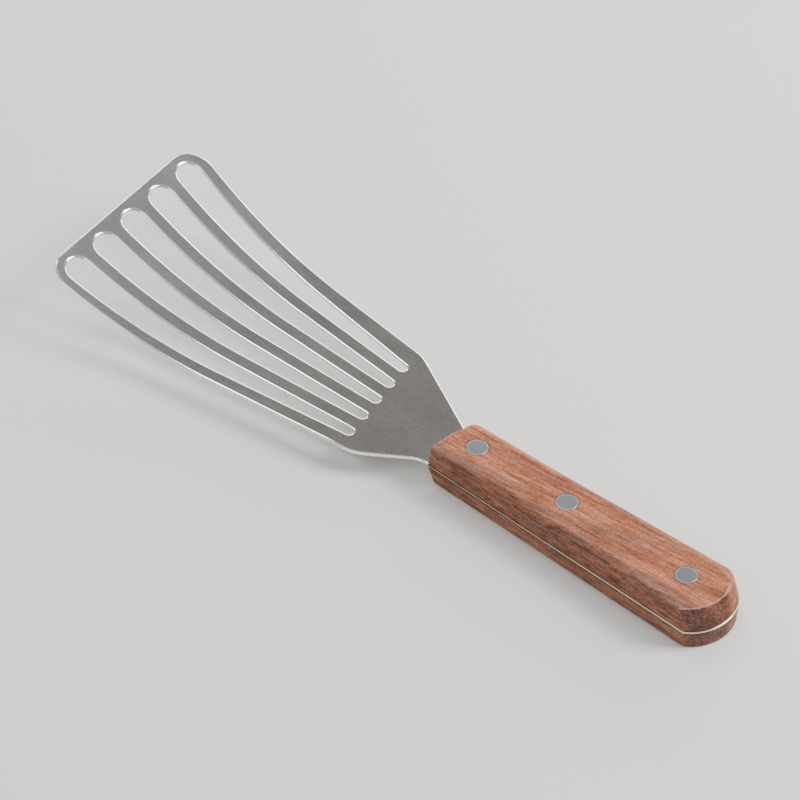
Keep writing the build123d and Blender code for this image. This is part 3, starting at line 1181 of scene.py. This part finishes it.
steelLooks = {
    "bladeSteel": {
        # warm and cool: painted reflection along the blade, warmer by the handle and lighter at the tip
        "warm": (0.480, 0.453, 0.414), "cool": (0.585, 0.580, 0.570), "rim": (0.97, 0.965, 0.955),
        "paintedStripLight": (0.95, 0.74, 0.54), "paintedStripEdge": (0.10, 0.07, 0.05), "stripHalf": 0.00022,
        "stripNarrowing": 2.4, "ringHighlightShare": 0.0,
        "driftShare": 0.11, "markShare": 0.04, "grainShare": 0.15, "rimBreak": 0.2,
        "roughness": 0.195, "roughSpread": 0.03, "rimRoughness": 0.12, "stripRoughening": 0.22, "bump": 0.12,
    },
    "rivetSteel": {
        "warm": (0.28, 0.275, 0.30), "cool": (0.28, 0.275, 0.30), "rim": (0.46, 0.465, 0.46),
        "paintedStripLight": (0.80, 0.80, 0.81), "paintedStripEdge": (0.80, 0.80, 0.81), "stripHalf": 0.00034,
        "stripNarrowing": 1.0, "ringHighlightShare": 0.5,
        "driftShare": 0.05, "markShare": 0.05, "grainShare": 0.05, "rimBreak": 0.3,
        "roughness": 0.38, "roughSpread": 0.03, "rimRoughness": 0.3, "stripRoughening": 0.0, "bump": 0.12,
    },
}

woodBands = {
    "sideRun": 0.006,              # over which the near side's painted shade and extra pores set in
    "acrossEnd": (-0.014, 0.004),  # Y range from the painted light on the right of the end faces to the painted shade on the left
    "joint": (0.00012, 0.00050),   # distance from the tang over which the painted shade fades
    "figureDepth": 0.012,
}

woodLooks = {
    "upperWood": {
        "light": (0.49, 0.168, 0.084), "dark": (0.235, 0.079, 0.043), "deep": (0.215, 0.108, 0.082),
        "pore": (0.080, 0.038, 0.028), "wornAndHighlit": (0.66, 0.40, 0.28), "wearAndSheenAmount": 0.7,
        "shift": (0.0, 0.0, 0.0), "grainAngle": 5.0, "pores": 0.40, "sidePores": 0.50,
        "sideStart": 0.0060, "sideShade": 0.66, "seatZ": tangTopZ, "jointShade": 0.85,
        "endRightPaintedLight": (1.05, 1.05, 1.02), "endLeftPaintedShade": (0.46, 0.56, 0.74), "roughness": 0.58, "bump": 0.5,
        "figures": (
            # middle, length, width, angle, strength
            ((0.0420, 0.0075), 0.056, 0.0065, 4.0, 0.62),
            ((0.0620, 0.0050), 0.012, 0.0150, 0.0, 0.45),
            ((0.0120, 0.0080), 0.050, 0.0045, 6.0, 0.62),
            ((0.0060, 0.0120), 0.060, 0.0022, 5.0, 0.60),
            ((-0.0150, 0.0010), 0.050, 0.0042, 8.0, 0.70),
            ((-0.0230, -0.0030), 0.034, 0.0022, 7.0, 0.55),
            ((-0.0450, 0.0040), 0.030, 0.0026, 5.0, 0.60),
            ((0.0300, -0.0040), 0.056, 0.0020, 4.0, 0.50),
            ((-0.0350, -0.0090), 0.056, 0.0022, 5.0, 0.60),
            ((-0.0330, 0.0105), 0.054, 0.0026, 5.0, 0.52),
        ),
    },
    "lowerWood": {
        "light": (0.41, 0.195, 0.128), "dark": (0.250, 0.110, 0.072), "deep": (0.160, 0.074, 0.052),
        "pore": (0.072, 0.036, 0.028), "wornAndHighlit": (0.66, 0.42, 0.30), "wearAndSheenAmount": 0.6,
        "shift": (0.31, 0.12, 0.4), "grainAngle": 2.0, "pores": 0.35, "sidePores": 0.25,
        "sideStart": 0.0065, "sideShade": 0.10, "seatZ": tangBottomZ, "jointShade": 0.55,
        "endRightPaintedLight": (0.95, 0.95, 0.92), "endLeftPaintedShade": (0.48, 0.56, 0.66), "roughness": 0.58, "bump": 0.5,
        "figures": (
            ((-0.0100, 0.0120), 0.060, 0.0060, 3.0, 0.35),
        ),
    },
}


makeCamera()
makeStudio()
print("studio ready")

groups = {
    "wearAndSheen": makeWearAndSheenGroup(),
    "rivets": makeRivetGroup(),
    "brush": makeBrushGroup(),
    "grain": makeGrainGroup(),
}
steels = {name: makeSteel(name, groups) for name in steelLooks}
woods = {name: makeWood(name, groups) for name in woodLooks}
print("materials ready")

makeBlade(steels["bladeSteel"])
makeScale("upper_handle_scale", "top_scale", upperScale, tangTopZ, handleTopZ, woods["upperWood"])
makeScale("lower_handle_scale", "bottom_scale", lowerScale, tangBottomZ, 0.0, woods["lowerWood"])
rivetTree = makeRivetTree()
betweenHeads = handleTopZ - 2 * rivets["headThickness"]
makeRivets("rivet_studs", rivetTree, steels["rivetSteel"], "stud", 1.0, handleTopZ,
           rivets["shankRadius"], betweenHeads - rivets["studGap"])
makeRivets("rivet_sleeves", rivetTree, steels["rivetSteel"], "sleeve", -1.0, 0.0,
           rivets["sleeveRadius"], betweenHeads - rivets["sleeveGap"])
print("handle and rivets made")
